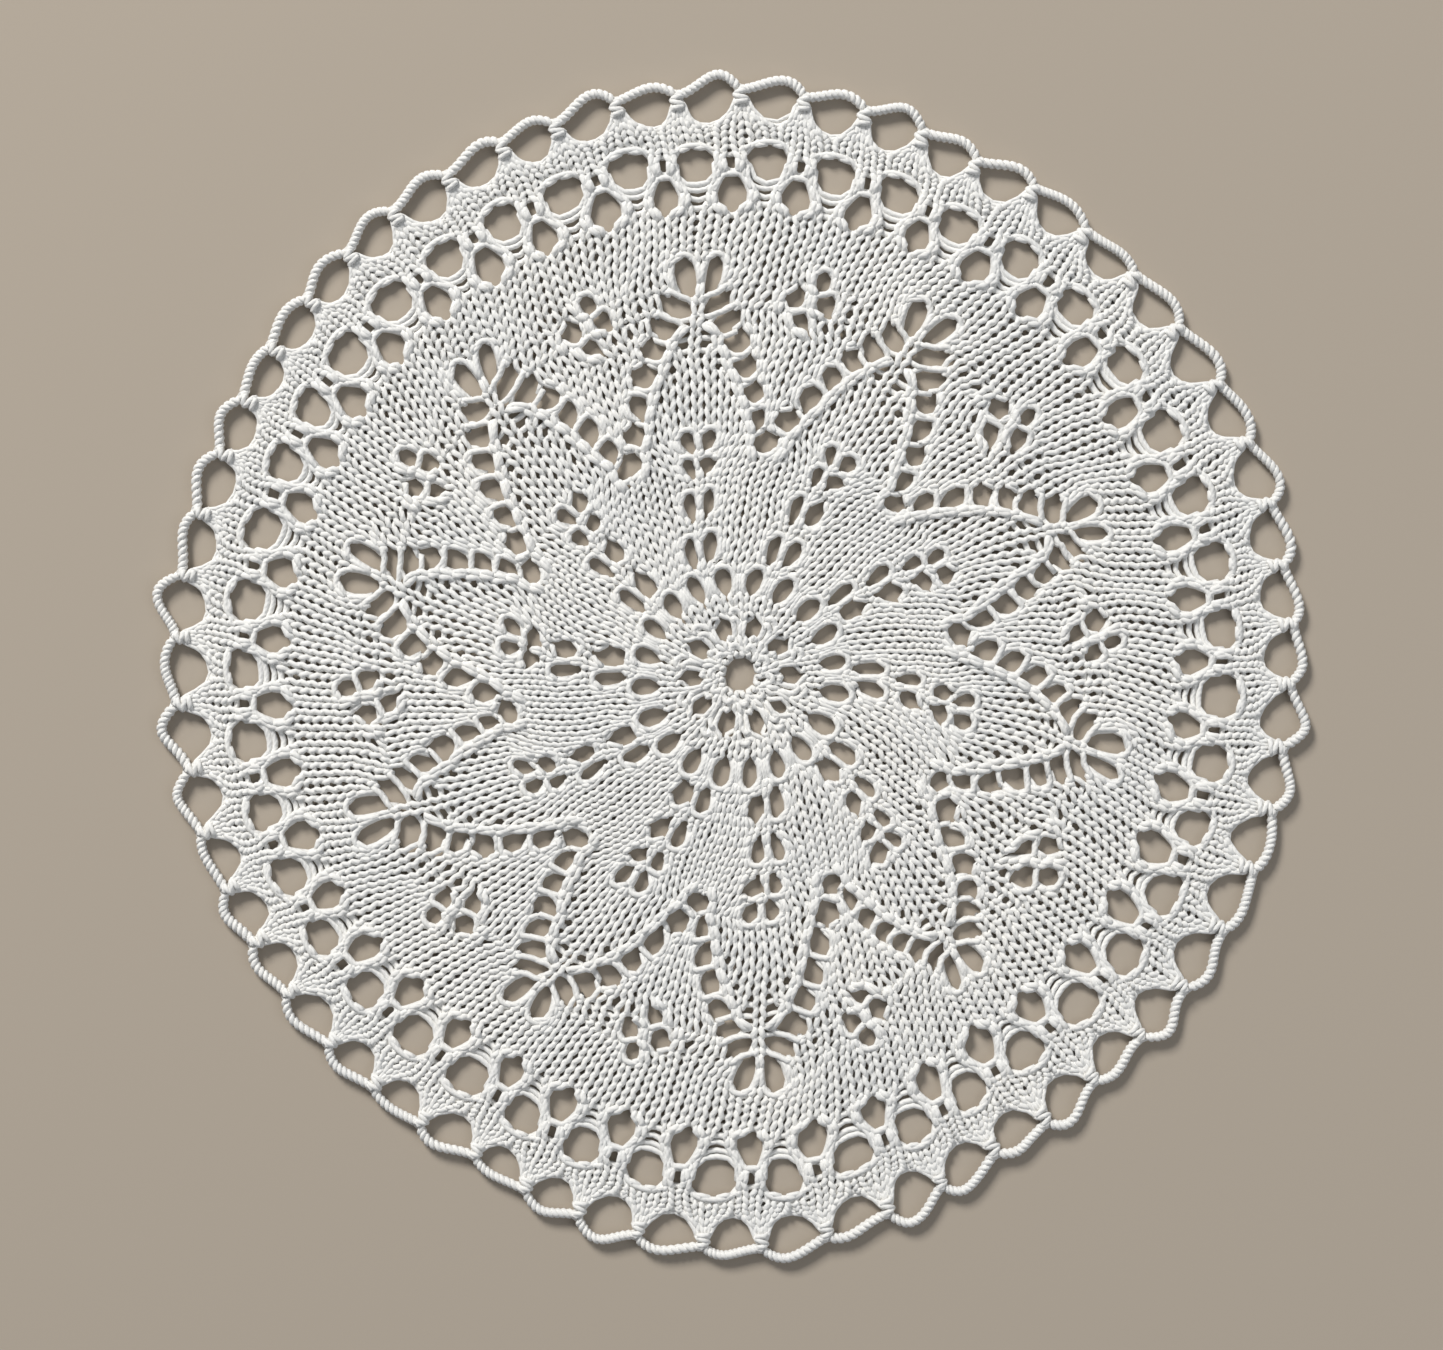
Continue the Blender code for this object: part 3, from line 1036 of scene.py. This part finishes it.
def noise(nodes, scale, detail):
    """A node of smooth noise."""
    node = nodes.new("ShaderNodeTexNoise")
    node.inputs["Scale"].default_value = scale
    node.inputs["Detail"].default_value = detail
    return node


def floor_and_light():
    """A plain pale floor, a dim sky and two soft lamps."""
    mesh = bpy.data.meshes.new("floor")
    corners = [(-1, -1), (1, -1), (1, 1), (-1, 1)]
    verts = [(x * FLOOR_HALF, y * FLOOR_HALF, 0.0) for x, y in corners]
    mesh.from_pydata(verts, [], [(0, 1, 2, 3)])
    floor = bpy.data.objects.new("floor", mesh)
    floor.location.z = -FLOOR_DROP * MM
    material = bpy.data.materials.new("pale_floor")
    material.use_nodes = True
    shader = material.node_tree.nodes["Principled BSDF"]
    shader.inputs["Base Color"].default_value = FLOOR_COLOUR
    shader.inputs["Roughness"].default_value = FLOOR_ROUGHNESS
    mesh.materials.append(material)
    bpy.context.scene.collection.objects.link(floor)

    world = bpy.data.worlds.new("studio")
    world.use_nodes = True
    sky = world.node_tree.nodes["Background"]
    sky.inputs["Color"].default_value = SKY_COLOUR
    sky.inputs["Strength"].default_value = SKY_STRENGTH
    bpy.context.scene.world = world
    bpy.context.scene.view_settings.view_transform = "Standard"
    for name, place, size, power, colour in LIGHTS:
        add_area_light(name, place, size, power, colour)


def add_area_light(name, place, size, power, colour):
    """A soft lamp that shines at the middle of the doily."""
    light = bpy.data.lights.new(name, "AREA")
    light.size = size
    light.energy = power
    light.color = colour
    lamp = bpy.data.objects.new(name, light)
    lamp.location = place
    towards = -lamp.location
    lamp.rotation_euler = towards.to_track_quat("-Z", "Y").to_euler()
    bpy.context.scene.collection.objects.link(lamp)


def overhead_camera():
    """The camera straight above, with the doily where the photograph has it."""
    camera = bpy.data.cameras.new("camera")
    camera.sensor_width = SENSOR_WIDTH
    view_width = IMAGE_WIDTH * PIXEL * MM
    camera.lens = SENSOR_WIDTH * CAMERA_HEIGHT / view_width
    eye = bpy.data.objects.new("camera", camera)
    x = (IMAGE_WIDTH / 2.0 - DOILY_PIXEL[0]) * PIXEL * MM
    y = (DOILY_PIXEL[1] - IMAGE_HEIGHT / 2.0) * PIXEL * MM
    eye.location = (x, y, CAMERA_HEIGHT)
    bpy.context.scene.collection.objects.link(eye)
    bpy.context.scene.camera = eye


def build_doily():
    """Works the doily round by round, and makes the pieces of the scene from it."""
    rounds = lace_rounds()
    first_of_band = len(rounds)
    first_of_border = first_of_band + len(BAND_CHART)
    rounds += band_rounds()
    link_rounds(rounds, first_of_band)
    settle(rounds)
    hand = np.random.default_rng(HAND_SEED)
    for this in rounds:
        this.heads += hand.normal(0.0, HAND_SPREAD, this.heads.shape)
    for before, this in zip(rounds, rounds[1:]):
        draw_together(this, before)
        work_into(this, before)
    material = yarn_material()
    waves = slow_waves(hand)
    paths = [wavered(eased_path(pushed_aside(yarn_of(this))), waves) for this in rounds]
    print("rounds", len(rounds), "stitches", sum(len(r.kinds) for r in rounds))
    edge = [wavered(strand, waves) for strand in crochet_edge()]
    yarns = (
        ("knit_middle", paths[:LEAVES_START]),
        ("knit_leaves", paths[LEAVES_START:GROUND_START]),
        ("knit_ground", paths[GROUND_START:first_of_band]),
        ("knit_band", paths[first_of_band:first_of_border]),
        ("knit_border", paths[first_of_border:]),
        ("crochet_edge", edge),
    )
    pieces = {name: yarn_piece(name, rings, material) for name, rings in yarns}
    leaves = pieces.pop("knit_leaves")


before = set(bpy.data.objects)
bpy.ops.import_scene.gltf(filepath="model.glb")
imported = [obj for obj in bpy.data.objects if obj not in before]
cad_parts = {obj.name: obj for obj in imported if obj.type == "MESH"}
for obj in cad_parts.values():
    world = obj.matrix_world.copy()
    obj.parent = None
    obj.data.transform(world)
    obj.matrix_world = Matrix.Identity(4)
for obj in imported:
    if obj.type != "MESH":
        bpy.data.objects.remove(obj)
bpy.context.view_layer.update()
overhead_camera()
floor_and_light()
build_doily()
